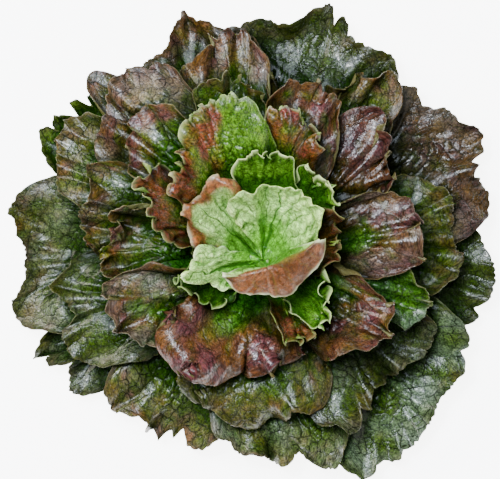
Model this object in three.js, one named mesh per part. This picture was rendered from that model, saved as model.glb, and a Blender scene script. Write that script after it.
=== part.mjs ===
// A red Batavian lettuce head, cut at the root and standing on its stem.
// Millimetres, +Z up. The origin is the centre of the cut face under the stem.
// Leaves grow in a spiral from a short stem. Each leaf is one thin solid with a lobed, ruffled margin.
import * as THREE from "three";

// Profiles of nested layers: four Bezier points each, as [distance from the axis, height].
// Layer 0 is the closed bud, and layer 4 is the lowest ring of leaves, which spreads over the table.
const LAYERS = [
  [[5, 60], [8, 72], [14, 90], [17, 112]],
  [[7, 50], [25, 54], [45, 80], [52, 114]],
  [[10, 35], [38, 48], [62, 96], [94, 98]],
  [[14, 20], [52, 46], [90, 78], [136, 52]],
  [[18, 7], [62, 28], [114, 30], [177, 3]],
];

// Each ring of leaves shares its blade's build. wave is the height of the ruffles in mm, waves their number
// round a whole turn of the margin, droop how far the margin sags in mm, rib the extra thickness of the midrib,
// rows and columns the blade's facets.
const RINGS = {
  outer: { wave: 9, waves: 9, droop: 2, rib: 1.6, rows: 6, columns: 13, colour: 0x3c4030 },
  under: { wave: 8, waves: 9, droop: 9, rib: 1.4, rows: 6, columns: 12, colour: 0x4a4030 },
  middle: { wave: 7, waves: 9, droop: 9, rib: 1.2, rows: 5, columns: 12, colour: 0x57382a },
  inner: { wave: 5, waves: 9, droop: 4, rib: 1.0, rows: 5, columns: 11, colour: 0x5a6a30 },
  heart: { wave: 2.4, waves: 9, droop: 0, rib: 0.6, rows: 5, columns: 11, colour: 0x9cc070 },
};

// The leaves from the lowest to the innermost. from and to are the compass arc that a blade spans, in degrees
// anticlockwise from +X, and reach is how far its margin comes from the axis, at even steps along that arc.
const LEAVES = [
  { ring: "outer", layer: 4.0, from: 126, to: 166, reach: [128, 152, 161, 165, 118] },
  { ring: "outer", layer: 3.98, from: 196, to: 228, reach: [125, 157, 165, 149, 157, 138, 105] },
  { ring: "outer", layer: 3.97, from: 332, to: 374, reach: [125, 150, 159, 147, 118] },
  { ring: "outer", layer: 3.95, from: 46, to: 98, reach: [118, 154, 155, 154, 167, 164, 156, 155, 128] },
  { ring: "outer", layer: 3.93, from: 280, to: 346, reach: [122, 152, 166, 167, 165, 158, 159, 148, 122] },
  { ring: "outer", layer: 3.9, from: 156, to: 208, reach: [126, 158, 170, 160, 158, 171, 158, 122] },
  { ring: "outer", layer: 3.86, from: 86, to: 142, reach: [124, 147, 150, 168, 154, 146, 149, 160, 126] },
  { ring: "outer", layer: 3.84, from: 0, to: 54, reach: [118, 150, 156, 152, 168, 160, 144, 146, 120] },
  { ring: "outer", layer: 3.8, from: 214, to: 266, reach: [105, 136, 144, 139, 142, 133, 136, 122, 98] },
  { ring: "outer", layer: 3.74, from: 250, to: 298, reach: [102, 127, 136, 141, 140, 155, 130] },
  { ring: "outer", layer: 3.66, from: 136, to: 170, reach: [118, 150, 156, 148, 140, 112] },
  { ring: "under", layer: 3.5, from: 178, to: 224, reach: [104, 128, 143, 130, 145, 144, 124, 98] },
  { ring: "under", layer: 3.44, from: 284, to: 346, reach: [100, 131, 130, 118, 123, 129, 124, 96] },
  { ring: "under", layer: 3.4, from: 338, to: 392, reach: [92, 124, 134, 127, 129, 122, 92] },
  { ring: "under", layer: 3.34, from: 40, to: 76, reach: [100, 130, 147, 138, 120, 112, 84] },
  { ring: "under", layer: 3.3, from: 78, to: 122, reach: [88, 112, 140, 146, 136, 126, 98] },
  { ring: "under", layer: 3.24, from: 106, to: 156, reach: [96, 130, 143, 146, 134, 126, 96] },
  { ring: "under", layer: 3.16, from: 146, to: 190, reach: [100, 126, 119, 122, 116, 108, 84] },
  { ring: "under", layer: 3.1, from: 232, to: 300, reach: [84, 103, 105, 113, 118, 111, 110, 108, 86] },
  { ring: "middle", layer: 2.95, from: 328, to: 358, reach: [80, 112, 118, 106, 78] },
  { ring: "middle", layer: 2.88, from: 80, to: 120, reach: [80, 100, 113, 118, 112, 84] },
  { ring: "middle", layer: 2.84, from: 20, to: 58, reach: [76, 100, 104, 114, 118, 86] },
  { ring: "middle", layer: 2.78, from: 112, to: 158, reach: [80, 108, 119, 118, 108, 100, 76] },
  { ring: "middle", layer: 2.72, from: 50, to: 92, reach: [80, 104, 113, 116, 109, 80] },
  { ring: "middle", layer: 2.66, from: 152, to: 200, reach: [72, 100, 98, 101, 107, 100, 74] },
  { ring: "middle", layer: 2.6, from: 342, to: 394, reach: [66, 88, 107, 107, 105, 94, 68] },
  { ring: "middle", layer: 2.52, from: 184, to: 230, reach: [74, 103, 107, 109, 102, 95, 70] },
  { ring: "middle", layer: 2.46, from: 298, to: 350, reach: [58, 84, 96, 103, 99, 87, 58] },
  { ring: "middle", layer: 2.3, from: 216, to: 308, reach: [72, 94, 93, 94, 80, 80, 76, 68, 58, 46] },
  { ring: "inner", layer: 2.16, from: 54, to: 94, reach: [60, 78, 88, 95, 88, 62] },
  { ring: "inner", layer: 2.12, from: 134, to: 182, reach: [62, 90, 91, 82, 70, 56, 44] },
  { ring: "inner", layer: 2.06, from: 82, to: 152, reach: [60, 92, 101, 101, 98, 84, 76, 74, 54] },
  { ring: "inner", layer: 2.0, from: 280, to: 314, reach: [52, 65, 66, 64, 46] },
  { ring: "inner", layer: 1.84, from: 184, to: 240, reach: [44, 59, 57, 53, 50, 38] },
  { ring: "inner", layer: 1.78, from: 296, to: 348, reach: [44, 63, 66, 57, 51, 50, 38] },
  { ring: "inner", layer: 1.7, from: 22, to: 68, reach: [46, 56, 62, 65, 60, 66, 50] },
  { ring: "inner", layer: 1.6, from: 58, to: 114, reach: [50, 62, 67, 65, 66, 60, 46] },
  { ring: "inner", layer: 1.5, from: 338, to: 398, reach: [38, 49, 53, 52, 55, 57, 42] },
  { ring: "heart", layer: 1.28, from: 104, to: 184, reach: [42, 53, 54, 52, 55, 49, 41, 30] },
  { ring: "heart", layer: 1.1, from: 170, to: 230, reach: [32, 42, 43, 54, 40, 34, 25] },
  { ring: "heart", layer: 0.98, from: 12, to: 128, reach: [36, 46, 47, 46, 43, 44, 44, 34] },
];

// The leaf that closes the front of the heart. It stands up to a crest and then folds outwards, down to its
// margin. crest and margin are distances from the axis at even steps of its arc, rise the heights at even steps
// from foot to margin, and along how far each of those steps lies from the foot to the crest, or beyond 1
// from the crest to the margin. dip and wave are shares of its height.
const FRONT = {
  from: 214,
  to: 370,
  crest: [29, 19, 14.5, 12.5, 12, 13, 15.5, 21, 39],
  margin: [31, 30, 29.5, 29.5, 32, 35, 36, 40, 44],
  rise: [58, 66, 78, 91, 99, 102, 100.5, 97, 92],
  along: [0, 0.1, 0.3, 0.62, 0.88, 1.08, 1.36, 1.68, 2],
  foot: 5.6,
  dip: 0.16,
  wave: 0.03,
  scallop: 1,
  rows: 11,
  columns: 13,
};

// A blade, in mm unless a comment says otherwise.
const BLADE = 0.9; // thickness at the margin
const BASE_HALF_ARC = 42; // half of the arc that a foot spans, in degrees
const WIDE_AT = 0.45; // the share of its length over which a blade widens to its full arc
const FOOT = 0.03; // where a blade starts on its profile, just clear of the stem
const CLEARANCE = 2.1; // least distance between the middle planes of two blades
const FOOT_CLEARANCE = 1.2; // what the ribs add to it at the foot
const SOFTNESS = 1; // how gradually a blade comes to lie on what is under it
const LEAST_SPREAD = 14; // the room between layers that a ruffle counts on, at least
const FLOOR_GAP = 1.4; // height of the lowest blade's middle plane above the table
const LAYING_PASSES = 4;
const FARTHEST = 1.12; // how far out a margin may lie on its profile

// The ruffles fan out from a point on the midrib, FAN of the way along it. WARP makes some of them wider
// than others, SWELL makes some higher, and they die away from the margin by the power FADE.
const FAN = 0.3;
const WARP = 0.22;
const SWELL = 0.3;
const FADE = 4;

// The stem.
const STEM_RADIUS = 16;
const STEM_TOP = 57;
const STEM_GAP = 2.2; // from its side to the feet of the leaves
const LEAN = [1.5, -6.5]; // how far its top stands from the axis, as x and y

// A number from 0 to 1 for a leaf's phase, the same on each run.
function drawer(seed) {
  let state = (seed * 2654435761) >>> 0;
  return () => {
    state = (Math.imul(state, 1664525) + 1013904223) >>> 0;
    return state / 4294967296;
  };
}

const clamp = (x, low, high) => Math.min(Math.max(x, low), high);
const radians = (degrees) => (degrees * Math.PI) / 180;
function smooth(low, high, x) {
  const f = clamp((x - low) / (high - low), 0, 1);
  return f * f * (3 - 2 * f);
}

// Catmull-Rom through values that stand at whole numbers, carried on in a straight line past both ends.
function spline(values, x) {
  const last = values.length - 1;
  const i = clamp(Math.floor(x), 0, last - 1);
  const f = x - i;
  const b = values[i];
  const c = values[i + 1];
  const a = i > 0 ? values[i - 1] : 2 * b - c;
  const d = i < last - 1 ? values[i + 2] : 2 * c - b;
  return b + 0.5 * f * (c - a + f * (2 * a - 5 * b + 4 * c - d + f * (3 * (b - c) + d - a)));
}

// Distance from the axis and height on a layer's profile, t of the way out.
function profile(layer, t) {
  const weights = [(1 - t) ** 3, 3 * t * (1 - t) ** 2, 3 * t * t * (1 - t), t ** 3];
  return [0, 1].map((axis) =>
    weights.reduce((sum, w, k) => sum + w * spline(LAYERS.map((curve) => curve[k][axis]), layer), 0),
  );
}

// Millimetres between two layers a whole number apart, at t, square to their surfaces.
function spread(layer, t) {
  const step = 0.05;
  const [r, z] = profile(layer, t);
  const [r1, z1] = profile(layer + step, t);
  const [r2, z2] = profile(layer, t + step);
  const area = (r1 - r) * (z2 - z) - (z1 - z) * (r2 - r);
  return area / Math.hypot(r2 - r, z2 - z) / step;
}

// How far out on its profile a margin lies that reaches r, found by halving.
function outTo(layer, r) {
  let low = 0;
  let high = FARTHEST;
  for (let i = 0; i < 30; i++) {
    const t = (low + high) / 2;
    if (profile(layer, t)[0] < r) low = t;
    else high = t;
  }
  return high;
}

// What the leaves already laid take up, in layers, on a grid of azimuth and t. It starts as the table.
const PILE = { azimuths: 180, steps: 46, end: 1.15 };
const pile = Array.from({ length: PILE.azimuths }, () =>
  Array.from({ length: PILE.steps + 1 }, (_, k) => {
    const t = (k / PILE.steps) * PILE.end;
    const slope = (profile(3.9, t)[1] - profile(4, t)[1]) / 0.1; // mm of height per layer
    return 4 + (profile(4, t)[1] - FLOOR_GAP) / slope;
  }),
);

// The lowest layer in use over a window of the pile.
function topOfPile(azimuth, t, halfArc, halfStep) {
  const bin = 360 / PILE.azimuths;
  const row = PILE.end / PILE.steps;
  let lowest = Infinity;
  for (let a = Math.floor((azimuth - halfArc) / bin); a <= Math.ceil((azimuth + halfArc) / bin); a++)
    for (let k = Math.floor((t - halfStep) / row); k <= Math.ceil((t + halfStep) / row); k++) {
      const column = pile[((a % PILE.azimuths) + PILE.azimuths) % PILE.azimuths];
      lowest = Math.min(lowest, column[clamp(k, 0, PILE.steps)]);
    }
  return lowest;
}

function addToPile(azimuth, t, layer) {
  const a = Math.round(azimuth / (360 / PILE.azimuths));
  const k = clamp(Math.round((t / PILE.end) * PILE.steps), 0, PILE.steps);
  const column = pile[((a % PILE.azimuths) + PILE.azimuths) % PILE.azimuths];
  column[k] = Math.min(column[k], layer);
}

// The height of a blade's ruffles at u of its length and v of its half width, as a share of the highest.
function ruffle(waves, phases, u, v) {
  const nearMargin = 1 - (1 - u ** 2) * (1 - Math.abs(v) ** 3);
  const turn = Math.atan2(v, u - FAN);
  const warped = turn + WARP * Math.sin(3 * turn + phases[1]);
  const swell = 1 - SWELL + SWELL * Math.sin(2 * turn + phases[2]);
  return u * nearMargin ** FADE * swell * Math.sin(waves * warped + phases[0]);
}

// A wanted layer, or less where the leaves under the blade hold it up.
function heldUp(wanted, azimuth, t, halfArc, halfStep) {
  const scale = spread(wanted, t);
  const apart = (CLEARANCE + FOOT_CLEARANCE * (1 - t) ** 2) / scale;
  const held = topOfPile(azimuth, t, halfArc, halfStep) - apart;
  const soft = SOFTNESS / scale;
  return Math.min(wanted, held) - soft * Math.log(1 + Math.exp(-Math.abs(wanted - held) / soft));
}

// Where the grid points of a leaf lie: azimuth, t and layer. edge has the layer of the margin at each column.
function layGrid(leaf, phases, edge) {
  const { wave, waves, droop, rows, columns } = RINGS[leaf.ring];
  const middle = (leaf.from + leaf.to) / 2;
  const halfArc = (leaf.to - leaf.from) / 2;
  const grid = [];
  for (let i = 0; i <= rows; i++) {
    const u = i / rows;
    const line = [];
    for (let j = 0; j <= columns; j++) {
      const v = (2 * j) / columns - 1;
      const margin = outTo(edge[j], spline(leaf.reach, ((v + 1) / 2) * (leaf.reach.length - 1)));
      const t = FOOT + (margin - FOOT) * u;
      const azimuth = middle + v * (BASE_HALF_ARC + (halfArc - BASE_HALF_ARC) * smooth(0, WIDE_AT, u));
      const lift = wave * ruffle(waves, phases, u, v) - droop * u ** 3;
      const wanted = leaf.layer - lift / Math.max(spread(leaf.layer, t), LEAST_SPREAD);
      line.push({ azimuth, t, u, v, layer: heldUp(wanted, azimuth, t, (2 * halfArc) / columns, 1 / rows) });
    }
    grid.push(line);
  }
  return grid;
}

// Lays a leaf a few times over, until its margin reaches as far as it should from where it comes to lie.
function layLeaf(leaf, index) {
  const draw = drawer(index + 1);
  const phases = [draw(), draw(), draw()].map((x) => x * 2 * Math.PI);
  let edge = new Array(RINGS[leaf.ring].columns + 1).fill(leaf.layer);
  for (let pass = 0; pass < LAYING_PASSES; pass++) {
    const margin = layGrid(leaf, phases, edge).at(-1);
    edge = edge.map((layer, j) => (layer + margin[j].layer) / 2);
  }
  return layGrid(leaf, phases, edge);
}

// Marks the cells of a laid leaf in the pile, each cut into smaller steps than the pile's.
function fillPile(grid) {
  const cuts = 6;
  for (let i = 0; i < grid.length - 1; i++)
    for (let j = 0; j < grid[i].length - 1; j++) {
      const corners = [grid[i][j], grid[i][j + 1], grid[i + 1][j], grid[i + 1][j + 1]];
      for (let a = 0; a <= cuts; a++)
        for (let b = 0; b <= cuts; b++) {
          const x = a / cuts;
          const y = b / cuts;
          const weights = [(1 - x) * (1 - y), (1 - x) * y, x * (1 - y), x * y];
          const mix = (key) => weights.reduce((sum, w, k) => sum + w * corners[k][key], 0);
          addToPile(mix("azimuth"), mix("t"), mix("layer"));
        }
    }
}

// The stem leans a little, and takes the feet of the leaves with it. t is 0 at a foot and 1 at a margin.
function place(azimuth, r, z, t) {
  const lean = (clamp(1 - t, 0, 1) ** 2 * z) / STEM_TOP;
  const a = radians(azimuth);
  return new THREE.Vector3(r * Math.cos(a) + LEAN[0] * lean, r * Math.sin(a) + LEAN[1] * lean, z);
}

function toSpace(point) {
  const [r, z] = profile(point.layer, point.t);
  return place(point.azimuth, r, z, point.t);
}

// The grid of points of the leaf that folds over the front of the heart. Its crest dips towards both sides,
// and its margin is scalloped.
function foldLeaf() {
  const last = FRONT.rise.length - 1;
  const grid = [];
  for (let i = 0; i <= FRONT.rows; i++) {
    const x = (i / FRONT.rows) * last;
    const z = spline(FRONT.rise, x);
    const along = spline(FRONT.along, x);
    const line = [];
    for (let j = 0; j <= FRONT.columns; j++) {
      const v = (2 * j) / FRONT.columns - 1;
      const azimuth = FRONT.from + ((v + 1) / 2) * (FRONT.to - FRONT.from);
      const step = ((v + 1) / 2) * (FRONT.crest.length - 1);
      const crest = spline(FRONT.crest, step);
      const margin = spline(FRONT.margin, step) + FRONT.scallop * Math.sin(9 * v + 1);
      const r = along < 1 ? FRONT.foot + along * (crest - FRONT.foot) : crest + (along - 1) * (margin - crest);
      const height = 1 - FRONT.dip * v ** 2 + FRONT.wave * Math.sin(5 * v + 1);
      line.push(place(azimuth, r, FRONT.rise[0] + (z - FRONT.rise[0]) * height, Math.min(along, 1)));
    }
    grid.push(line);
  }
  return grid;
}

// A closed blade round a grid of points on its middle plane, with the same split of cells on both faces.
function blade(points, thicknesses) {
  const rows = points.length;
  const columns = points[0].length;
  const normals = points.map((line, i) =>
    line.map((_, j) => {
      const out = points[Math.min(i + 1, rows - 1)][j].clone().sub(points[Math.max(i - 1, 0)][j]);
      const side = points[i][Math.min(j + 1, columns - 1)].clone().sub(points[i][Math.max(j - 1, 0)]);
      return out.cross(side).normalize();
    }),
  );
  const positions = [];
  for (const face of [1, -1])
    points.forEach((line, i) =>
      line.forEach((p, j) => {
        const q = p.clone().addScaledVector(normals[i][j], (face * thicknesses[i][j]) / 2);
        positions.push(q.x, q.y, q.z);
      }),
    );
  const count = rows * columns;
  const index = [];
  const quad = (a, b, c, d) => index.push(a, b, c, a, c, d);
  for (let i = 0; i < rows - 1; i++)
    for (let j = 0; j < columns - 1; j++) {
      const a = i * columns + j;
      const corners = [a, a + columns, a + columns + 1, a + 1];
      quad(...corners);
      const [p, q, r, s] = corners.map((k) => k + count);
      index.push(p, r, q, p, s, r);
    }
  const rim = [];
  for (let j = 0; j < columns - 1; j++) rim.push(j);
  for (let i = 0; i < rows - 1; i++) rim.push(i * columns + columns - 1);
  for (let j = columns - 1; j > 0; j--) rim.push((rows - 1) * columns + j);
  for (let i = rows - 1; i > 0; i--) rim.push(i * columns);
  rim.forEach((a, k) => {
    const b = rim[(k + 1) % rim.length];
    quad(a, b, b + count, a + count);
  });
  const geometry = new THREE.BufferGeometry();
  geometry.setAttribute("position", new THREE.Float32BufferAttribute(positions, 3));
  geometry.setIndex(index);
  return geometry;
}

const lettuce = new THREE.Group();
const counts = {};

function add(geometry, name, color, roughness) {
  const mesh = new THREE.Mesh(geometry, new THREE.MeshStandardMaterial({ color, roughness, metalness: 0 }));
  mesh.name = name;
  lettuce.add(mesh);
}

LEAVES.forEach((leaf, index) => {
  const grid = layLeaf(leaf, index);
  fillPile(grid);
  const { rib, colour } = RINGS[leaf.ring];
  const thicknesses = grid.map((line) => line.map((p) => BLADE + rib * (1 - p.u) ** 2 * (1 - p.v ** 2)));
  counts[leaf.ring] = (counts[leaf.ring] ?? 0) + 1;
  const name = `${leaf.ring}_leaf_${String(counts[leaf.ring]).padStart(2, "0")}`;
  add(blade(grid.map((line) => line.map(toSpace)), thicknesses), name, colour, 0.45);
});

const folded = foldLeaf();
add(blade(folded, folded.map((line) => line.map(() => BLADE))), "heart_leaf_folded", RINGS.heart.colour, 0.45);

// The stem is a short cone that the leaves' feet surround, with a flat cut face.
const outline = [[0, 0], [STEM_RADIUS, 0]];
for (const layer of [4, 3, 2, 1, 0.3]) {
  const [r, z] = profile(layer, 0);
  outline.push([r - STEM_GAP, Math.min(z, STEM_TOP)]);
}
outline.push([0, STEM_TOP + 1]);
const stem = new THREE.LatheGeometry(outline.map(([r, z]) => new THREE.Vector2(r, z)), 24).rotateX(Math.PI / 2);
const stemPoints = stem.getAttribute("position");
for (let i = 0; i < stemPoints.count; i++) {
  const lean = stemPoints.getZ(i) / STEM_TOP;
  stemPoints.setX(i, stemPoints.getX(i) + LEAN[0] * lean);
  stemPoints.setY(i, stemPoints.getY(i) + LEAN[1] * lean);
}
add(stem, "stem", 0xd8d8b0, 0.6);

export default lettuce;
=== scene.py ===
"""A red Batavian lettuce head, standing on its cut stem and seen from straight above.

Each leaf of the frame is laid once more from the same numbers, then drawn on a fine grid with the lobes,
frills, veins and blisters that the frame's facets leave out. Lengths are millimetres until a mesh is made.
"""
import math

import bpy
import numpy as np
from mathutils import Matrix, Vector


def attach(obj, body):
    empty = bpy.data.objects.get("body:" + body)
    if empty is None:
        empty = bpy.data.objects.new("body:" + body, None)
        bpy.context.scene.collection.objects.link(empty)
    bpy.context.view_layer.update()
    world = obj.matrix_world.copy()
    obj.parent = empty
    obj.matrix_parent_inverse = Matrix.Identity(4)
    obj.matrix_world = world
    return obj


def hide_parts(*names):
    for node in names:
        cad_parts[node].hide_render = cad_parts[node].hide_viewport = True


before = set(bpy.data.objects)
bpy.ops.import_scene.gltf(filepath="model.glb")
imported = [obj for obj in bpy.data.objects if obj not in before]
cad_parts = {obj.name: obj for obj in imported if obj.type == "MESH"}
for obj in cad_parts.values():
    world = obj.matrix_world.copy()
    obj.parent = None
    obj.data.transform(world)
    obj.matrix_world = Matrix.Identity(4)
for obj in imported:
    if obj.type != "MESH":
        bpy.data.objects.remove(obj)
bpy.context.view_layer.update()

MM = 0.001

# The frame's own numbers: profiles of nested layers as [distance from the axis, height], from the bud out.
LAYERS = np.array([
    [[5, 60], [8, 72], [14, 90], [17, 112]],
    [[7, 50], [25, 54], [45, 80], [52, 114]],
    [[10, 35], [38, 48], [62, 96], [94, 98]],
    [[14, 20], [52, 46], [90, 78], [136, 52]],
    [[18, 7], [62, 28], [114, 30], [177, 3]],
], float)

# wave, droop, rib, rows and columns are the frame's: the height of a leaf's ruffles in mm, how far its
# margin sags, the extra thickness of its midrib, and its facets. The rest is for the fine leaf. fine is its
# grid, fold and fold_size the height and spacing of its folds, hump and hump_size those of its puckered
# humps. lobe and tooth are how far the margin's lobes and teeth stand out, frill the height of its frills,
# curl their length, meander how far they sway the margin in and out, and lift how far they are raised, as a
# share of their height. rise is how far the whole margin lifts off the leaves below. blister is how far the
# cells between the veins bulge, cell their size, and pleat the height of fine creases.
RINGS = {
    "outer": dict(wave=9, droop=2, rib=1.6, rows=6, columns=13, fine=(52, 104), fold=1.2, fold_size=50,
        hump=2.9, hump_size=30, lobe=10.0, tooth=1.6, frill=2.4, curl=30, meander=1.0, lift=0.4, rise=2.0,
        blister=1.7, cell=6.8, pleat=0.0),
    "under": dict(wave=8, droop=9, rib=1.4, rows=6, columns=12, fine=(50, 100), fold=1.2, fold_size=48,
        hump=2.9, hump_size=28, lobe=7.5, tooth=1.4, frill=2.6, curl=28, meander=1.2, lift=0.5, rise=4.0,
        blister=1.9, cell=7.0, pleat=0.0),
    "middle": dict(wave=7, droop=9, rib=1.2, rows=5, columns=12, fine=(52, 96), fold=1.1, fold_size=44,
        hump=2.8, hump_size=26, lobe=6.5, tooth=1.1, frill=2.8, curl=26, meander=1.4, lift=0.5, rise=5.0,
        blister=2.0, cell=7.0, pleat=0.0),
    "inner": dict(wave=5, droop=4, rib=1.0, rows=5, columns=11, fine=(46, 96), fold=1.0, fold_size=26,
        hump=1.1, hump_size=18, lobe=4.5, tooth=0.4, frill=4.4, curl=14, meander=3.6, lift=0.4, rise=2.0,
        blister=1.0, cell=6.0, pleat=0.2),
    "heart": dict(wave=2.4, droop=0, rib=0.6, rows=5, columns=11, fine=(60, 100), fold=0.5, fold_size=18,
        hump=0.6, hump_size=12, lobe=1.2, tooth=0.5, frill=1.6, curl=15, meander=0.5, lift=0.2, rise=0.0,
        blister=0.25, cell=5.0, pleat=0.05),
}

# The leaves from the lowest up. As the frame lays them: ring, layer, arc from and to in degrees, and reach
# in mm at even steps of the arc. Then the look of each: how red its margin is and over how many mm that fades
# inwards, how pale its rim is, how light it is beside its ring's colours, and how much grey wax lies on it,
# the wax standing partly for a painted blue-grey sheen.
LEAVES = [
    ("outer", 4.0, 126, 166, [128, 152, 161, 165, 118], (0.3, 20, 0.05, 1, 0)),
    ("outer", 3.98, 196, 228, [125, 157, 165, 149, 157, 138, 105], (0.45, 35, 0.1, 0.65, 0.15)),
    ("outer", 3.97, 332, 374, [125, 150, 159, 147, 118], (0.35, 30, 0.1, 0.62, 0)),
    ("outer", 3.95, 46, 98, [118, 154, 155, 154, 167, 164, 156, 155, 128], (0.45, 30, 0.1, 0.5, 0)),
    ("outer", 3.93, 280, 346, [122, 152, 166, 167, 165, 158, 159, 148, 122], (0.35, 30, 0.1, 1.1, 0.55)),
    ("outer", 3.9, 156, 208, [126, 158, 170, 160, 158, 171, 158, 122], (0.55, 45, 0.1, 0.8, 0.2)),
    ("outer", 3.86, 86, 142, [124, 147, 150, 168, 154, 146, 149, 160, 126], (0.85, 50, 0.1, 1.2, 0)),
    ("outer", 3.84, 0, 54, [118, 150, 156, 152, 168, 160, 144, 146, 120], (1, 80, 0.1, 0.8, 0.1)),
    ("outer", 3.8, 214, 266, [105, 136, 144, 139, 142, 133, 136, 122, 98], (0.6, 40, 0.15, 1.15, 0)),
    ("outer", 3.74, 250, 298, [102, 127, 136, 141, 140, 155, 130], (0.5, 35, 0.15, 1.1, 0.2)),
    ("outer", 3.66, 136, 170, [118, 150, 156, 148, 140, 112], (0.6, 40, 0.1, 1.15, 0)),
    ("under", 3.5, 178, 224, [104, 128, 143, 130, 145, 144, 124, 98], (0.4, 35, 0.1, 0.7, 0.1)),
    ("under", 3.44, 284, 346, [100, 131, 130, 118, 123, 129, 124, 96], (0.45, 35, 0.1, 0.7, 0.2)),
    ("under", 3.4, 338, 392, [92, 124, 134, 127, 129, 122, 92], (0.5, 35, 0.1, 1, 0)),
    ("under", 3.34, 40, 76, [100, 130, 147, 138, 120, 112, 84], (0.75, 40, 0.1, 1.1, 0)),
    ("under", 3.3, 78, 122, [88, 112, 140, 146, 136, 126, 98], (0.85, 45, 0.1, 1.15, 0)),
    ("under", 3.24, 106, 156, [96, 130, 143, 146, 134, 126, 96], (0.9, 70, 0.1, 1, 0.15)),
    ("under", 3.16, 146, 190, [100, 126, 119, 122, 116, 108, 84], (0.65, 40, 0.1, 1.05, 0)),
    ("under", 3.1, 232, 300, [84, 103, 105, 113, 118, 111, 110, 108, 86], (0.55, 40, 0.15, 1, 0)),
    ("middle", 2.95, 328, 358, [80, 112, 118, 106, 78], (0.25, 25, 0.15, 0.95, 0.35)),
    ("middle", 2.88, 80, 120, [80, 100, 113, 118, 112, 84], (0.5, 30, 0.1, 0.85, 0)),
    ("middle", 2.84, 20, 58, [76, 100, 104, 114, 118, 86], (1.1, 70, 0.1, 0.65, 0)),
    ("middle", 2.78, 112, 158, [80, 108, 119, 118, 108, 100, 76], (0.75, 40, 0.1, 0.95, 0)),
    ("middle", 2.72, 50, 92, [80, 104, 113, 116, 109, 80], (0.9, 45, 0.15, 1.05, 0)),
    ("middle", 2.66, 152, 200, [72, 100, 98, 101, 107, 100, 74], (0.7, 45, 0.1, 0.95, 0)),
    ("middle", 2.6, 342, 394, [66, 88, 107, 107, 105, 94, 68], (1, 65, 0.1, 0.8, 0.15)),
    ("middle", 2.52, 184, 230, [74, 103, 107, 109, 102, 95, 70], (0.8, 60, 0.1, 0.95, 0.2)),
    ("middle", 2.46, 298, 350, [58, 84, 96, 103, 99, 87, 58], (0.9, 65, 0.1, 0.95, 0)),
    ("middle", 2.3, 216, 308, [72, 94, 93, 94, 80, 80, 76, 68, 58, 46], (1.1, 70, 0.1, 1.05, 0)),
    ("inner", 2.16, 54, 94, [60, 78, 88, 95, 88, 62], (1, 30, 0.4, 0.85, 0)),
    ("inner", 2.12, 134, 182, [62, 90, 91, 82, 70, 56, 44], (1, 40, 0.2, 0.75, 0)),
    ("inner", 2.06, 82, 152, [60, 92, 101, 101, 98, 84, 76, 74, 54], (1.1, 45, 0.3, 0.95, 0)),
    ("inner", 2.0, 280, 314, [52, 65, 66, 64, 46], (0.9, 40, 0.15, 0.75, 0)),
    ("inner", 1.84, 184, 240, [44, 59, 57, 53, 50, 38], (0.2, 10, 0.4, 0.85, 0)),
    ("inner", 1.78, 296, 348, [44, 63, 66, 57, 51, 50, 38], (0.1, 8, 0.9, 1.15, 0)),
    ("inner", 1.7, 22, 68, [46, 56, 62, 65, 60, 66, 50], (0.15, 6, 1, 1.15, 0)),
    ("inner", 1.6, 58, 114, [50, 62, 67, 65, 66, 60, 46], (0.05, 6, 1, 1.35, 0)),
    ("inner", 1.5, 338, 398, [38, 49, 53, 52, 55, 57, 42], (1.4, 60, 0.1, 0.9, 0)),
    ("heart", 1.28, 104, 184, [42, 53, 54, 52, 55, 49, 41, 30], (1.4, 12, 0.3, 1.3, 0)),
    ("heart", 1.1, 170, 230, [32, 42, 43, 54, 40, 34, 25], (0.1, 6, 0.6, 1.45, 0)),
    ("heart", 0.98, 12, 128, [36, 46, 47, 46, 43, 44, 44, 34], (0.35, 9, 0.1, 1.5, 0)),
]

# The leaf that folds over the front of the heart.
FRONT = dict(
    arc=(214, 370),
    crest=[29, 19, 14.5, 12.5, 12, 13, 15.5, 21, 39],
    margin=[31, 30, 29.5, 29.5, 32, 35, 36, 40, 44],
    rise=[58, 66, 78, 91, 99, 102, 100.5, 97, 92],
    along=[0, 0.1, 0.3, 0.62, 0.88, 1.08, 1.36, 1.68, 2],
    foot=5.6, dip=0.16, wave=0.03, scallop=1, rows=11, columns=13, fine=(84, 96),
    look=(1.2, 13, 1, 0.9, 0),
)

# How the frame lays its blades, in mm unless a comment says otherwise.
WAVES = 9  # ruffles round a whole turn of the margin
BASE_HALF_ARC = 42  # half of the arc that a foot spans, in degrees
WIDE_AT = 0.45  # the share of its length over which a blade widens to its full arc
FOOT = 0.03  # where a blade starts on its profile
CLEARANCE = 2.1  # least distance between the middle planes of two blades
FOOT_CLEARANCE = 1.2  # what the ribs add to it at the foot
SOFTNESS = 1  # how gradually a blade comes to lie on what is under it
LEAST_SPREAD = 14  # the room between layers that a ruffle counts on, at least
FLOOR_GAP = 1.4  # height of the lowest blade's middle plane above the table
LAYING_PASSES = 4
FARTHEST = 1.12  # how far out a margin may lie on its profile

# The ruffles fan out from a point on the midrib, FAN of the way along it. WARP makes some of them wider than
# others, SWELL makes some higher, and they die away from the margin by the power FADE.
FAN = 0.3
WARP = 0.22
SWELL = 0.3
FADE = 4

# The stem. LEAN is how far its top stands from the axis, as x and y. STEM_TOP is the frame's, and STEM_TIP is
# where the fine stem ends, lower, so that it stays under the feet of the fine heart.
STEM_RADIUS = 16
STEM_TOP = 57
STEM_TIP = 43
STEM_GAP = 2.2  # from its side to the feet of the leaves
LEAN = (1.5, -6.5)

# The pile notes the lowest layer in use on a grid of azimuths and of steps out to PILE_END.
PILE_AZIMUTHS = 180
PILE_STEPS = 46
PILE_END = 1.15

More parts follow.
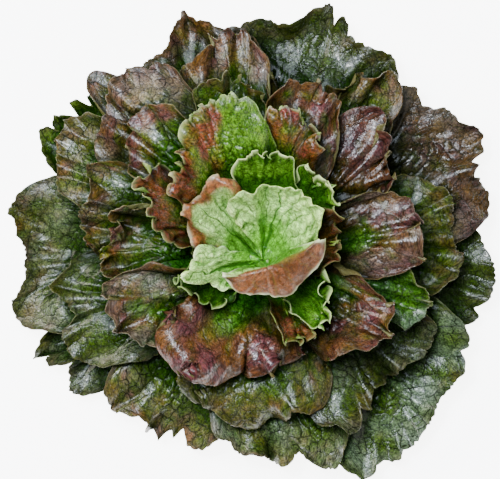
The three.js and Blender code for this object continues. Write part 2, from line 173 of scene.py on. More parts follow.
# The fine leaves, in mm.
FINE_BLADE = 0.55  # thickness at the margin
FLOOR_LIFT = 0.3  # least height above the floor
LEAF_GAP = 1.0  # least height above the leaves below
MOST_LIFT = 14  # how far a leaf may be lifted for that
HEART_CLOSING = 1.5  # how far the bowl's foot rises over the tip of the stem
LOBE_LENGTH = 38
LOBE_DEPTH = 14  # how far in from the margin lobes reach
TOOTH_LENGTH = 8
TOOTH_DEPTH = 3.5
VEIN_DEPTH = 0.3
SEED = 1000  # each leaf's random numbers start from this and its index

# Leaves whose margin turns over: how wide the turned strip is, and by how many degrees it turns down.
ROLLS = {
    "under_leaf_08": (14, 50),
    "middle_leaf_10": (16, 65),
    "inner_leaf_01": (9, 70),
    "inner_leaf_03": (9, 60),
    "heart_leaf_01": (9, 75),
    "heart_leaf_02": (6, 45),
}


def smooth(low, high, x):
    f = np.clip((x - low) / (high - low), 0, 1)
    return f * f * (3 - 2 * f)


def spline(values, x):
    """Catmull-Rom through values that stand at whole numbers, carried on straight past both ends."""
    values = np.asarray(values, float)
    x = np.asarray(x, float)
    last = len(values) - 1
    i = np.clip(np.floor(x).astype(int), 0, last - 1)
    f = (x - i).reshape(x.shape + (1,) * (values.ndim - 1))
    ends = [2 * values[0] - values[1]], [2 * values[-1] - values[-2]]
    padded = np.concatenate([ends[0], values, ends[1]])
    a, b, c, d = (padded[i + k] for k in range(4))
    return b + 0.5 * f * (c - a + f * (2 * a - 5 * b + 4 * c - d + f * (3 * (b - c) + d - a)))


def profile(layer, t):
    """Distance from the axis and height on a layer's profile, t of the way out."""
    layer, t = np.broadcast_arrays(np.asarray(layer, float), np.asarray(t, float))
    weights = np.stack([(1 - t) ** 3, 3 * t * (1 - t) ** 2, 3 * t * t * (1 - t), t ** 3], -1)
    point = (weights[..., None] * spline(LAYERS, layer)).sum(-2)
    return point[..., 0], point[..., 1]


def spread(layer, t):
    """Millimetres between two layers a whole number apart, square to their surfaces."""
    step = 0.05
    r, z = profile(layer, t)
    r1, z1 = profile(layer + step, t)
    r2, z2 = profile(layer, t + step)
    return ((r1 - r) * (z2 - z) - (z1 - z) * (r2 - r)) / np.hypot(r2 - r, z2 - z) / step


def out_to(layer, reach):
    """How far out on its profile a margin lies that reaches that far from the axis, found by halving."""
    low = np.zeros_like(layer)
    high = np.full_like(layer, FARTHEST)
    for _ in range(30):
        t = (low + high) / 2
        short = profile(layer, t)[0] < reach
        low = np.where(short, t, low)
        high = np.where(short, high, t)
    return high


def table_as_pile():
    """The lowest layer in use on a grid of azimuth and t, before any leaf is laid."""
    t = np.arange(PILE_STEPS + 1) / PILE_STEPS * PILE_END
    slope = (profile(3.9, t)[1] - profile(4, t)[1]) / 0.1
    return np.tile(4 + (profile(4, t)[1] - FLOOR_GAP) / slope, (PILE_AZIMUTHS, 1))


def held_up(pile, wanted, azimuth, t, half_arc, half_step):
    """A wanted layer, or less where the leaves under the blade hold it up."""
    turn = 360 / PILE_AZIMUTHS
    row = PILE_END / PILE_STEPS
    held = np.empty_like(wanted)

    def near(middle, half, size):
        return np.arange(math.floor((middle - half) / size), math.ceil((middle + half) / size) + 1)

    for i, j in np.ndindex(*wanted.shape):
        a = near(azimuth[i, j], half_arc, turn)
        k = near(t[i, j], half_step, row)
        held[i, j] = pile[np.ix_(a % PILE_AZIMUTHS, np.clip(k, 0, PILE_STEPS))].min()
    scale = spread(wanted, t)
    held -= (CLEARANCE + FOOT_CLEARANCE * (1 - t) ** 2) / scale
    soft = SOFTNESS / scale
    return np.minimum(wanted, held) - soft * np.log(1 + np.exp(-np.abs(wanted - held) / soft))


def lay_grid(pile, leaf, phases, edge):
    """Azimuth, t and layer of a leaf's grid points, as the frame lays them."""
    ring, own_layer, start, end, reach, _ = leaf
    build = RINGS[ring]
    u = (np.arange(build["rows"] + 1) / build["rows"])[:, None]
    v = 2 * np.arange(build["columns"] + 1) / build["columns"] - 1
    half_arc = (end - start) / 2
    margin = out_to(edge, spline(reach, (v + 1) / 2 * (len(reach) - 1)))
    t = FOOT + (margin - FOOT) * u
    azimuth = (start + end) / 2 + v * (BASE_HALF_ARC + (half_arc - BASE_HALF_ARC) * smooth(0, WIDE_AT, u))
    near = 1 - (1 - u ** 2) * (1 - np.abs(v) ** 3)
    turn = np.arctan2(v, u - FAN)
    warped = turn + WARP * np.sin(3 * turn + phases[1])
    swell = 1 - SWELL + SWELL * np.sin(2 * turn + phases[2])
    ruffle = u * near ** FADE * swell * np.sin(WAVES * warped + phases[0])
    lift = build["wave"] * ruffle - build["droop"] * u ** 3
    wanted = own_layer - lift / np.maximum(spread(own_layer, t), LEAST_SPREAD)
    return azimuth, t, held_up(pile, wanted, azimuth, t, 2 * half_arc / build["columns"], 1 / build["rows"])


def lay_leaf(pile, leaf, index):
    """Lays a leaf a few times over, until its margin reaches as far as it should."""
    state = ((index + 1) * 2654435761) & 0xFFFFFFFF
    phases = []
    for _ in range(3):
        state = (state * 1664525 + 1013904223) & 0xFFFFFFFF
        phases.append(state / 2 ** 32 * 2 * math.pi)
    edge = np.full(RINGS[leaf[0]]["columns"] + 1, float(leaf[1]))
    for _ in range(LAYING_PASSES):
        edge = (edge + lay_grid(pile, leaf, phases, edge)[2][-1]) / 2
    return lay_grid(pile, leaf, phases, edge)


def inside_cells(grid, cuts, steps):
    """The grid's values at steps of 1 / cuts across its cells, one array for each place inside a cell."""
    corners = grid[:-1, :-1], grid[:-1, 1:], grid[1:, :-1], grid[1:, 1:]
    for a, b in np.ndindex(steps, steps):
        x, y = a / cuts, b / cuts
        weights = (1 - x) * (1 - y), (1 - x) * y, x * (1 - y), x * y
        yield sum(weight * corner for weight, corner in zip(weights, corners))


def fill_pile(pile, *laid):
    """Marks the cells that a laid leaf covers in the pile. A leaf is laid as its azimuth, t and layer."""
    cuts = 6
    for azimuth, t, layer in zip(*(inside_cells(part, cuts, cuts + 1) for part in laid)):
        turn = np.floor(azimuth / (360 / PILE_AZIMUTHS) + 0.5).astype(int) % PILE_AZIMUTHS
        row = np.clip(np.floor(t / PILE_END * PILE_STEPS + 0.5).astype(int), 0, PILE_STEPS)
        np.minimum.at(pile, (turn, row), layer)


def place(azimuth, r, z, t):
    """A point in space. The stem leans a little, and takes the feet of the leaves with it."""
    lean = np.clip(1 - t, 0, 1) ** 2 * z / STEM_TOP
    a = np.radians(azimuth)
    return np.stack([r * np.cos(a) + LEAN[0] * lean, r * np.sin(a) + LEAN[1] * lean, z + 0 * a], -1)


def folded_net():
    """The grid of points of the leaf that folds over the front of the heart."""
    last = len(FRONT["rise"]) - 1
    x = (np.arange(FRONT["rows"] + 1) / FRONT["rows"] * last)[:, None]
    v = 2 * np.arange(FRONT["columns"] + 1) / FRONT["columns"] - 1
    start, end = FRONT["arc"]
    step = (v + 1) / 2 * (len(FRONT["crest"]) - 1)
    crest = spline(FRONT["crest"], step)
    margin = spline(FRONT["margin"], step) + FRONT["scallop"] * np.sin(9 * v + 1)
    along = spline(FRONT["along"], x)
    inner = FRONT["foot"] + along * (crest - FRONT["foot"])
    r = np.where(along < 1, inner, crest + (along - 1) * (margin - crest))
    height = 1 - FRONT["dip"] * v ** 2 + FRONT["wave"] * np.sin(5 * v + 1)
    foot = FRONT["rise"][0]
    z = foot + (spline(FRONT["rise"], x) - foot) * height
    return place(start + (v + 1) / 2 * (end - start), r, z, np.minimum(along, 1))


def unit(vectors):
    return vectors / np.maximum(np.linalg.norm(vectors, axis=-1, keepdims=True), 1e-9)


def tangents(points):
    """Unit vectors along the leaf, across it and out of its upper face."""
    out = unit(np.gradient(points, axis=0))
    side = unit(np.gradient(points, axis=1))
    return out, side, unit(np.cross(out, side))


class Heap:
    """How high the fine leaves laid so far reach, on a grid of 1 mm squares."""

    HALF = 190

    def __init__(self):
        size = 2 * self.HALF + 1
        self.top = np.full((size, size), FLOOR_LIFT)

    def cells(self, points):
        spots = np.clip(np.rint(points[..., :2]).astype(int) + self.HALF, 0, 2 * self.HALF)
        return spots[..., 0], spots[..., 1]

    def below(self, points):
        return self.top[self.cells(points)]

    def painted_shade(self, points):
        """How much of the sky over points the leaves round them hide, from 0 to 1, for painted shade."""
        directions, steps = 12, (1.5, 2.5, 4, 6, 9, 13, 18, 25, 34)
        hidden = np.zeros(points.shape[:2])
        for turn in range(directions):
            angle = 2 * math.pi * turn / directions
            rise = np.zeros(points.shape[:2])
            for step in steps:
                there = points + [step * math.cos(angle), step * math.sin(angle), 0]
                rise = np.maximum(rise, (self.top[self.cells(there)] - points[..., 2] - 0.4) / step)
            hidden += rise ** 2 / (1 + rise ** 2)
        return hidden / directions

    def add(self, points):
        cuts = 3
        for between in inside_cells(points, cuts, cuts):
            np.maximum.at(self.top, self.cells(between), between[..., 2])


def widened(values, reach):
    """The greatest of the neighbours up to reach rows and columns away."""
    for _ in ("rows", "columns"):
        padded = np.pad(values, [(reach, reach), (0, 0)])
        values = np.max([padded[step:step + len(values)] for step in range(2 * reach + 1)], axis=0).T
    return values


def softened(values, times):
    """Values blurred over their neighbours a number of times."""
    for _ in ("rows", "columns") * times:
        padded = np.pad(values, [(1, 1), (0, 0)], mode="edge")
        values = ((padded[:-2] + padded[2:] + 2 * padded[1:-1]) / 4).T
    return values


class Leaf:
    """A fine leaf: points on its middle plane, and what its shape and colour need at each of them."""

    def __init__(self, name, ring, net, fine, look, index):
        self.name = name
        self.ring = ring
        self.look = look
        self.index = index
        self.rng = np.random.default_rng(SEED + index)
        # The rows stand closer towards the margin, where the frills are.
        crowd = 0.2 if ring == "heart" else 0.75
        rows, columns = fine
        s = np.arange(rows + 1) / rows
        u = s + crowd * s * (1 - s)
        self.v = (2 * np.arange(columns + 1) / columns - 1)[None, :]
        along = spline(np.eye(net.shape[0]), u * (net.shape[0] - 1))
        across = spline(np.eye(net.shape[1]), (self.v[0] + 1) / 2 * (net.shape[1] - 1))
        points = np.einsum("ia,jb,abk->ijk", along, across, net)
        foot = self.foot(points[0])
        self.points = np.concatenate([foot, points])
        self.u = np.concatenate([np.zeros(len(foot)), u])[:, None]
        if name == "heart_leaf_03":
            self.widen_foot()
        self.measure()

    def foot(self, first):
        """Rows of points that carry the foot of the blade on, into the stem or over its tip in the heart."""
        level = first[:, 2].mean()
        axis = np.array([LEAN[0], LEAN[1], 0]) * level / STEM_TOP
        if self.name == "heart_leaf_folded":
            shares, rise = (0.02, 0.35, 0.7), -3.0
        elif self.ring == "heart":
            shares, rise = (0.02, 0.3, 0.6, 0.8), HEART_CLOSING if self.name == "heart_leaf_03" else 0.0
        else:
            shares, rise = (0.75,), -1.0
        rows = []
        for share in shares:
            row = axis + (first - axis) * [share, share, 1]
            row[:, 2] = first[:, 2] + rise * (1 - share)
            rows.append(row)
        return np.array(rows)

    def widen_foot(self):
        """Turns the right side of the bowl's foot round the axis, to meet the leaf folded over its front."""
        turn = math.radians(-30) * smooth(0.0, 1.0, -self.v) * (1 - smooth(0.3, 0.8, self.u))
        level = self.points[..., 2] / STEM_TOP
        x = self.points[..., 0] - LEAN[0] * level
        y = self.points[..., 1] - LEAN[1] * level
        self.points[..., 0] = LEAN[0] * level + x * np.cos(turn) - y * np.sin(turn)
        self.points[..., 1] = LEAN[1] * level + x * np.sin(turn) + y * np.cos(turn)

    def measure(self):
        """Lengths over the leaf in mm: x from the midrib, y from the foot, and depth in from the margin."""
        p = self.points
        middle = p.shape[1] // 2
        across = np.linalg.norm(np.diff(p, axis=1), axis=-1).cumsum(axis=1)
        across = np.concatenate([np.zeros((len(p), 1)), across], axis=1)
        self.x = across - across[:, middle:middle + 1]
        along = np.linalg.norm(np.diff(p, axis=0), axis=-1).cumsum(axis=0)
        self.y = np.concatenate([np.zeros((1, p.shape[1])), along])
        ahead = self.y[-1:] - self.y
        aside = np.minimum(self.x[:, -1:] - self.x, self.x - self.x[:, :1])
        # How gradually depth, and the way out, change at the corners of the margin.
        soft, turning = 3.0, 8
        self.depth = np.maximum(-soft * np.log(np.exp(-ahead / soft) + np.exp(-aside / soft)), 0)
        self.to_tip = np.exp(-ahead / turning)
        self.to_side = np.exp(-aside / turning)
        turn = np.arctan2(self.v, self.u - FAN)
        self.s = turn * across[-1, -1] / 2 / math.atan2(1, 1 - FAN)
        self.grown = smooth(0.2, 0.6, self.u)

    def wander(self, length, start):
        """A smooth curve round the margin through random heights from -1 to 1, one every length mm."""
        heights = self.rng.uniform(-1, 1, 64)
        return spline(heights, (self.s / length + start) % 60 + 1)

    def blotches(self, size):
        """Soft random patches about size mm across, from about -1 to 1."""
        total = np.zeros_like(self.x)
        for _ in range(6):
            angle = self.rng.uniform(0, math.pi)
            length = size * self.rng.uniform(1.2, 3.0)
            across = self.x * math.cos(angle) + self.y * math.sin(angle)
            total += np.sin(2 * math.pi * across / length + self.rng.uniform(0, 6.3))
        return total / 2.4

    def off_the_margin(self):
        """Unit vectors out over the nearest margin, and out of the upper face."""
        out, side, normal = tangents(self.points)
        outward = out * self.to_tip[..., None] + side * (np.sign(self.v) * self.to_side)[..., None]
        return unit(outward), normal

    def fold(self):
        """Folds that fan out to the margin, and broad hollows and humps between them."""
        build = RINGS[self.ring]
        normal = tangents(self.points)[2]
        size = build["fold_size"]
        run = self.s / size + 0.8 * self.wander(size, 7) + 0.15 * self.blotches(30)
        height = 0.5 + 0.5 * self.wander(size, 2)
        fans = np.sin(2 * math.pi * run) * height * smooth(0.25, 0.85, self.u)
        puckers = 2 * np.abs(self.blotches(build["hump_size"])) ** 0.85 - 1
        swells = self.blotches(1.6 * build["hump_size"])
        inner = smooth(12, 44, self.depth)
        humps = (0.7 * puckers * inner + swells) * smooth(0.15, 0.45, self.u)
        rise = build["fold"] * fans + build["hump"] * humps
        self.points = self.points + normal * rise[..., None]

    def roll(self):
        """Turns the margin over, outwards and down."""
        if self.name not in ROLLS:
            return
        width, angle = ROLLS[self.name]
        outward, normal = self.off_the_margin()
        past = np.maximum(width * (1 + 0.3 * self.wander(14, 4)) - self.depth, 0) * self.grown
        radius = width / math.radians(angle)
        ahead = radius * np.sin(past / radius) - past
        down = radius * (1 - np.cos(past / radius))
        self.points = self.points + outward * ahead[..., None] - normal * down[..., None]

    def shape_margin(self):
        """Lobes, teeth and frills along the margin."""
        build = RINGS[self.ring]
        outward, normal = self.off_the_margin()
        onward = np.cross(normal, outward)
        wave = np.abs(np.sin(math.pi * (self.s / LOBE_LENGTH + self.wander(45, 5))))
        pointed = smooth(-0.3, 0.3, self.wander(55, 8))
        lobe = (1 - pointed) * (wave ** 0.7 - 0.6) + pointed * (0.4 - 0.65 * wave ** 1.4)
        lobe = lobe * np.clip(0.75 + 0.9 * self.wander(40, 4), 0.15, 1.6)
        tooth = np.abs(np.sin(math.pi * (self.s / TOOTH_LENGTH + 0.5 * self.wander(11, 5)))) ** 0.8 - 0.55
        lobes = build["lobe"] * lobe * np.exp(-self.depth / LOBE_DEPTH)
        teeth = build["tooth"] * tooth * np.exp(-self.depth / TOOTH_DEPTH)
        curl = build["curl"]
        phase = 2 * math.pi * (self.s / curl + 0.6 * self.wander(2.5 * curl, 9))
        height = 0.65 + 0.35 * self.wander(1.7 * curl, 3)
        if self.name == "heart_leaf_folded":
            height = 0.4 * height
        near = np.exp(-(self.depth / (0.5 * curl)) ** 1.5)
        frill = build["frill"] * height * near * (np.sin(phase) + build["lift"])
        frill = frill + build["rise"] * np.exp(-self.depth / LOBE_DEPTH)
        sway = 0.35 * build["frill"] * height * near ** 2 * np.sin(2 * phase)
        meander = build["meander"] * height * near ** 2 * np.sin(phase + 1.2)
        moved = outward * (lobes + teeth + meander - 0.25 * np.abs(frill))[..., None]
        moved = moved + normal * frill[..., None] + onward * sway[..., None]
        self.points = self.points + moved * self.grown[..., None]

    def bulge(self, rib, cells):
        """Veins as channels and the cells between them as blisters, from the vein pattern's rib and cells."""
        build = RINGS[self.ring]
        normal = tangents(self.points)[2]
        dome = 1 - (1 - np.clip(cells / 0.42, 0, 1)) ** 2
        calm = smooth(0.05, 0.4, self.u)
        near_rib = np.exp(-(self.x / 26) ** 2)
        patchy = smooth(-0.6, 0.7, self.blotches(30))
        self.blistered = np.clip(smooth(10, 44, self.depth) * (0.4 + 0.8 * near_rib) * patchy, 0, 1)
        rise = build["blister"] * calm * (0.05 + self.blistered) * (dome - 0.5) * (1 - 0.6 * rib)
        pleats = self.wander(4.5, 0) * np.clip(self.blotches(20), 0, 1) * self.grown
        if self.name == "heart_leaf_folded":
            calm = calm * smooth(0.9, 0.75, self.u)
        rise = rise - VEIN_DEPTH * rib * calm + pleats * build["pleat"]
        self.points = self.points + normal * rise[..., None]

    def rest_on(self, heap):
        """Lifts the blade clear of the leaves that it would cut through, and adds it to the heap."""
        level = smooth(0.25, 0.6, np.abs(tangents(self.points)[2][..., 2]))
        short = np.maximum(heap.below(self.points) + LEAF_GAP - self.points[..., 2], 0) * level
        lift = np.minimum(softened(widened(short, 2), 2), MOST_LIFT)
        self.points[..., 2] += lift
        heap.add(self.points)

    def solid(self):
        """Both faces of the blade."""
        normal = tangents(self.points)[2]
        rib = RINGS[self.ring]["rib"]
        thickness = FINE_BLADE + rib * (1 - self.u) ** 2 * (1 - self.v ** 2)
        half = normal * (thickness / 2)[..., None]
        return self.points + half, self.points - half

    def looks(self, heap):
        """The amounts of each colour, and of painted shade, at each point."""
        red, fade, pale, light, wax_sheen_amount = self.look
        patches = self.blotches(22)
        fine = self.blotches(7)
        reach = np.maximum(fade * (1 + 0.35 * patches), 2)
        redness = red * np.exp(-(self.depth / reach) ** 1.6) * (1 + 0.2 * fine) * (0.2 + 0.8 * self.grown)
        if self.name == "inner_leaf_03":
            # The tall leaf behind the heart is red on its left side only.
            redness = redness * (1 - 0.8 * smooth(0.5, -0.3, self.v + 0.3 * patches))
        if self.name == "heart_leaf_folded":
            last = len(FRONT["along"]) - 1
            redness = smooth(0.84, 1.0, spline(FRONT["along"], self.u * last) + 0.03 * fine)
        rim = 0.5 + 0.5 * self.wander(9, 3)
        paleness = pale * (0.2 + 1.2 * rim) * np.exp(-(self.depth / (0.6 + 1.6 * rim)) ** 2) * self.grown
        lightness = light * (1 + 0.10 * patches + 0.05 * fine)
        foot = 1 - smooth(0.2, 0.65, self.u + 0.12 * patches)
        # Painted shade: darker where the leaves round a point hide its sky.
        painted_shade = smooth(0.12, 0.9 if self.ring == "heart" else 0.55, heap.painted_shade(self.points))
        # Grey wax, partly a painted blue-grey sheen.
        wax_and_sheen = wax_sheen_amount * (0.6 + 0.9 * patches) * smooth(0.3, 0.8, self.u)
        edge = smooth(9, 0, self.depth) * self.grown
        parts = dict(red=redness, pale=paleness, light=lightness, foot=foot, painted_shade=painted_shade, wax_and_sheen=wax_and_sheen,
                     edge=edge, blistered=self.blistered)
        return {name: np.clip(part, 0, 2 if name == "light" else 1) for name, part in parts.items()}


def lay_all():
    """Every leaf of the head, from the lowest to the innermost, as fine leaves."""
    pile = table_as_pile()
    leaves = []
    counts = {}
    for index, leaf in enumerate(LEAVES):
        azimuth, t, layer = lay_leaf(pile, leaf, index)
        fill_pile(pile, azimuth, t, layer)
        ring = leaf[0]
        counts[ring] = counts.get(ring, 0) + 1
        r, z = profile(layer, t)
        net = place(azimuth, r, z, t)
        name = f"{ring}_leaf_{counts[ring]:02d}"
        leaves.append(Leaf(name, ring, net, RINGS[ring]["fine"], leaf[-1], index))
    leaves.append(Leaf("heart_leaf_folded", "heart", folded_net(), FRONT["fine"], FRONT["look"], len(LEAVES)))
    return leaves


# The vein pattern is drawn by nodes, the same in the leaves' shapes and in their colours. Its coordinates are
# a leaf's x and y in units of 100 mm, and shift moves each leaf to a part of the pattern of its own,
# SHIFT past that of the leaf before it.
UNIT = 100.0
SHIFT = 3.0


def add_object(name, data):
    thing = bpy.data.objects.new(name, data)
    bpy.context.scene.collection.objects.link(thing)
    return thing


def store(mesh, name, values):
    """Puts one number on each point of a mesh."""
    mesh.attributes.new(name, "FLOAT", "POINT").data.foreach_set("value", np.asarray(values, np.float32))


class Nodes:
    """Short ways to add nodes to a tree."""

    def __init__(self, tree):
        self.tree = tree

    def add(self, kind, **settings):
        node = self.tree.nodes.new(kind)
        for key, value in settings.items():
            setattr(node, key, value)
        return node

    def put(self, socket, value):
        if isinstance(value, bpy.types.NodeSocket):
            self.tree.links.new(value, socket)
        else:
            socket.default_value = value

    def feed(self, node, values):
        """Puts values on the inputs that they are named after."""
        for name, value in values.items():
            self.put(node.inputs[name], value)

    def output_of(self, node, *values):
        """A node's first output, with the values on its inputs in turn."""
        for socket, value in zip(node.inputs, values):
            self.put(socket, value)
        return node.outputs[0]

    def math(self, operation, *values):
        return self.output_of(self.add("ShaderNodeMath", operation=operation), *values)

    def times(self, a, b):
        return self.math("MULTIPLY", a, b)

    def plus(self, a, b):
        return self.math("ADD", a, b)

    def less(self, part, share):
        """1 less a share of a part."""
        return self.math("SUBTRACT", 1.0, self.times(part, share))

    def vector(self, operation, *values):
        return self.output_of(self.add("ShaderNodeVectorMath", operation=operation), *values)

    def scale(self, vector, by):
        node = self.add("ShaderNodeVectorMath", operation="SCALE")
        self.put(node.inputs[0], vector)
        self.put(node.inputs["Scale"], by)
        return node.outputs[0]

    def ramp(self, value, low, high, start=0.0, end=1.0):
        node = self.add("ShaderNodeMapRange", interpolation_type="SMOOTHSTEP")
        return self.output_of(node, value, low, high, start, end)

    def shifted(self, vector, x):
        """A vector moved by x along its first axis."""
        offset = self.add("ShaderNodeCombineXYZ")
        self.put(offset.inputs["X"], x)
        return self.vector("ADD", vector, offset.outputs[0])

    def noise(self, vector, scale, detail=2.0, output="Fac"):
        node = self.add("ShaderNodeTexNoise", noise_dimensions="2D")
        self.feed(node, {"Vector": vector, "Scale": scale, "Detail": detail})
        return node.outputs[output]

    def edges(self, vector, scale):
        """Distance to the nearest edge between Voronoi cells, in cells."""
        node = self.add("ShaderNodeTexVoronoi", voronoi_dimensions="2D", feature="DISTANCE_TO_EDGE")
        self.feed(node, {"Vector": vector, "Scale": scale})
        return node.outputs["Distance"]


def vein_pattern(n, place_on_leaf, shift, cells_per_unit, fanned):
    """Sockets for the main veins, 1 on them and 0 off them, and for the distance to the net of small veins.

    Side veins leave a midrib every so often, or where fanned is 1 all veins fan out from the foot.
    """
    moved = n.shifted(place_on_leaf, shift)
    drift = n.vector("SUBTRACT", n.noise(moved, 6.0, output="Color"), (0.5, 0.5, 0.5))
    warped = n.vector("ADD", moved, n.scale(drift, 0.07))
    cells = n.edges(warped, cells_per_unit)
    split = n.add("ShaderNodeSeparateXYZ")
    n.put(split.inputs[0], n.vector("ADD", place_on_leaf, n.scale(drift, 0.10)))
    x = n.math("ABSOLUTE", split.outputs[0])
    y = split.outputs[1]
    climb = n.times(n.math("POWER", x, 0.85), 0.95)
    aside = n.times(n.math("SIGN", split.outputs[0]), 0.25)
    ladder = n.plus(n.math("DIVIDE", n.math("SUBTRACT", y, climb), 0.17), aside)
    fan = n.times(n.math("DIVIDE", split.outputs[0], n.plus(y, 0.03)), 5.5)
    along = n.plus(n.times(ladder, n.math("SUBTRACT", 1.0, fanned)), n.times(fan, fanned))
    between = n.math("ABSOLUTE", n.math("SUBTRACT", n.math("FRACT", along), 0.5))
    lateral = n.ramp(between, 0.41, 0.485)
    midrib = n.ramp(n.plus(x, n.times(y, 0.006)), 0.014, 0.006)
    main = n.math("MAXIMUM", n.times(lateral, 0.8), midrib)
    return main, cells


def sample_veins(leaves):
    """The vein pattern's values at every point of every leaf, as (rib, cells) arrays."""
    shapes = [leaf.x.shape for leaf in leaves]
    sizes = [rows * columns for rows, columns in shapes]
    flat = [np.stack([leaf.x.ravel(), leaf.y.ravel()], -1) / UNIT for leaf in leaves]
    spots = np.concatenate([np.pad(places, ((0, 0), (0, 1))) for places in flat])
    mesh = bpy.data.meshes.new("vein_samples")
    mesh.vertices.add(len(spots))
    mesh.vertices.foreach_set("co", spots.astype(np.float32).ravel())
    store(mesh, "shift", np.repeat([SHIFT * leaf.index for leaf in leaves], sizes))
    store(mesh, "density", np.repeat([UNIT / RINGS[leaf.ring]["cell"] for leaf in leaves], sizes))
    store(mesh, "fanned", np.repeat([float(leaf.ring == "heart") for leaf in leaves], sizes))
    tree = bpy.data.node_groups.new("vein_samples", "GeometryNodeTree")
    for way in ("INPUT", "OUTPUT"):
        tree.interface.new_socket("Geometry", in_out=way, socket_type="NodeSocketGeometry")
    n = Nodes(tree)
    geometry = n.add("NodeGroupInput").outputs[0]
    values = {}
    for name in ("shift", "density", "fanned"):
        named = n.add("GeometryNodeInputNamedAttribute", data_type="FLOAT")
        named.inputs["Name"].default_value = name
        values[name] = named.outputs["Attribute"]
    position = n.add("GeometryNodeInputPosition").outputs[0]
    main, cells = vein_pattern(n, position, values["shift"], values["density"], values["fanned"])
    for name, value in (("rib", main), ("cells", cells)):
        keep = n.add("GeometryNodeStoreNamedAttribute", data_type="FLOAT", domain="POINT")
        n.feed(keep, {"Geometry": geometry, "Name": name, "Value": value})
        geometry = keep.outputs["Geometry"]
    n.put(n.add("NodeGroupOutput").inputs[0], geometry)
    holder = add_object("vein_samples", mesh)
    holder.modifiers.new("veins", "NODES").node_group = tree
    result = holder.evaluated_get(bpy.context.evaluated_depsgraph_get()).data
    read = []
    for name in ("rib", "cells"):
        array = np.zeros(len(spots), np.float32)
        result.attributes[name].data.foreach_get("value", array)
        read.append(array)
    bpy.data.objects.remove(holder)
    bpy.data.meshes.remove(mesh)
    bpy.data.node_groups.remove(tree)
    cuts = np.cumsum(sizes)[:-1]
    parts = [np.split(array, cuts) for array in read]
    return [(rib.reshape(shape), cells.reshape(shape)) for rib, cells, shape in zip(*parts, shapes)]


def mesh_of(leaf, heap):
    """A closed blade mesh: the upper face, the lower face and the rim between them."""
    upper, lower = leaf.solid()
    rows, columns = upper.shape[:2]
    count = rows * columns
    places = np.concatenate([upper.reshape(-1, 3), lower.reshape(-1, 3)]) * MM
    a = (np.arange(rows - 1)[:, None] * columns + np.arange(columns - 1)).ravel()
    top = np.stack([a, a + columns, a + columns + 1, a + 1], -1)
    bottom = top[:, ::-1] + count
    rim = np.concatenate([
        np.arange(columns - 1),
        np.arange(rows - 1) * columns + columns - 1,
        (rows - 1) * columns + np.arange(columns - 1, 0, -1),
        np.arange(rows - 1, 0, -1) * columns,
    ])
    onward = np.roll(rim, -1)
    edge = np.stack([rim, onward, onward + count, rim + count], -1)
    mesh = bpy.data.meshes.new(leaf.name)
    mesh.from_pydata(places.tolist(), [], np.concatenate([top, bottom, edge]).tolist())
    corners = np.zeros(len(mesh.loops), np.int32)
    mesh.loops.foreach_get("vertex_index", corners)
    flat = np.stack([leaf.x.ravel(), leaf.y.ravel()], -1) / UNIT
    uv = mesh.uv_layers.new(name="leaf")
    uv.data.foreach_set("uv", flat[corners % count].astype(np.float32).ravel())
    amounts = leaf.looks(heap)
    amounts["shift"] = np.full(count, SHIFT * leaf.index)
    for name, values in amounts.items():
        store(mesh, name, np.tile(values.ravel(), 2))
    store(mesh, "under", np.repeat([0, 1], count))
    mesh.polygons.foreach_set("use_smooth", np.ones(len(mesh.polygons), bool))
    mesh.update()
    return mesh


def colour(code):
    """A linear colour from the six hexadecimal digits of a screen colour."""
    parts = [int(code[i:i + 2], 16) / 255 for i in (0, 2, 4)]
    return tuple(c / 12.92 if c <= 0.04045 else ((c + 0.055) / 1.055) ** 2.4 for c in parts) + (1.0,)


# Each ring's colours: green flesh, the brown and the purple of red flesh, veins, rim, foot and lower face.
PALETTES = {
    "outer": ("3a5012", "4e3610", "462e2a", "101408", "6e6a48", "4a7420", "4c5630"),
    "under": ("38500c", "503410", "462a26", "101008", "70643e", "427a18", "4a5230"),
    "middle": ("38600e", "543412", "4c2628", "120c06", "78603c", "3c8414", "4a5430"),
    "inner": ("4e7618", "663816", "642a20", "163c06", "c0d08c", "4a9420", "548030"),
    "heart": ("b4d87c", "6a3c1a", "704428", "3c741c", "dce4b8", "66a424", "90b458"),
}

# How dark the net of small veins is, from its faintest to its darkest parts.
NET_STRENGTH = {
    "outer": (0.4, 1.0),
    "under": (0.3, 0.9),
    "middle": (0.1, 0.7),
    "inner": (0.1, 0.45),
    "heart": (0.15, 0.30),
}


def blend(n, amount, a, b):
    """A colour between two colours."""
    node = n.add("ShaderNodeMix", data_type="RGBA", clamp_factor=True)
    n.feed(node, {"Factor": amount, "A": a, "B": b})
    return node.outputs["Result"]


def new_material(name):
    """A material with its nodes and its shader."""
    material = bpy.data.materials.new(name)
    material.use_nodes = True
    return material, Nodes(material.node_tree), material.node_tree.nodes["Principled BSDF"]


